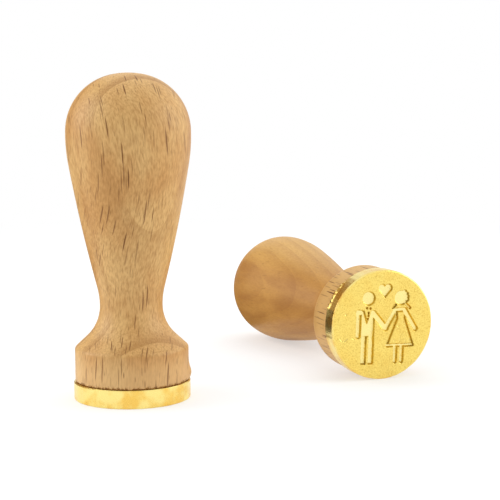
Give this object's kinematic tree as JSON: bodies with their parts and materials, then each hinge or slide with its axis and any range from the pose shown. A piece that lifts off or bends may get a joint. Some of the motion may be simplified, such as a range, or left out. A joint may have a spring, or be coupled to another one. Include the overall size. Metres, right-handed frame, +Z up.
{
  "type": "wax seal stamp set",
  "caption": "Wax seal stamps with turned beech handles and thick round brass seal heads engraved with a couple under a heart; each head unscrews from its handle.",
  "frame": {"origin": "centre of the standing stamp's seal face, on the surface that the set rests on", "axes": "+Z up along the standing stamp's axis, +X to the right and +Y away from the picture's view; the lying stamp is to the right, its handle pointing back and to the left"},
  "size_m": [0.0801, 0.0953, 0.0695],
  "materials": {
    "beech": "satin, turned",
    "seal_brass": "cast and turned, fine grained, bright",
    "insert_brass": "machined",
    "stud_steel": "zinc plated"
  },
  "bodies": {
    "standing_head": {"standing_seal_head": "seal_brass"},
    "standing_screw": {"standing_stud": "stud_steel"},
    "standing_grip": {"standing_handle": "beech", "standing_insert": "insert_brass"},
    "lying_grip": {"lying_handle": "beech", "lying_insert": "insert_brass"},
    "lying_screw": {"lying_stud": "stud_steel"},
    "lying_head": {"lying_seal_head": "seal_brass"}
  },
  "joints": [
    {"name": "standing_handle_turn", "type": "hinge", "parent": "standing_head", "child": "standing_screw", "pos_m": [0, 0, 0], "axis": [0, 0, 1], "range_deg": [0, 3600]},
    {"name": "standing_handle_rise", "type": "slide", "parent": "standing_screw", "child": "standing_grip", "axis": [0, 0, 1], "range_m": [0, 0.0101]},
    {"name": "lying_lift", "type": "slide", "parent": "standing_head", "child": "lying_grip", "axis": [0, 0, 1], "range_m": [0, 0.08]},
    {"name": "lying_head_out", "type": "slide", "parent": "lying_grip", "child": "lying_screw", "axis": [0.3665, -0.9303, -0.0143], "range_m": [0, 0.0101]},
    {"name": "lying_head_turn", "type": "hinge", "parent": "lying_screw", "child": "lying_head", "pos_m": [0.0553, 0.0162, 0.01249], "axis": [0.3665, -0.9303, -0.0143], "range_deg": [0, 3600]}
  ],
  "couplings": [
    {"joint": "standing_handle_rise", "follows": "standing_handle_turn", "m_per_rad": 0.00015915},
    {"joint": "lying_head_out", "follows": "lying_head_turn", "m_per_rad": 0.00015915}
  ]
}
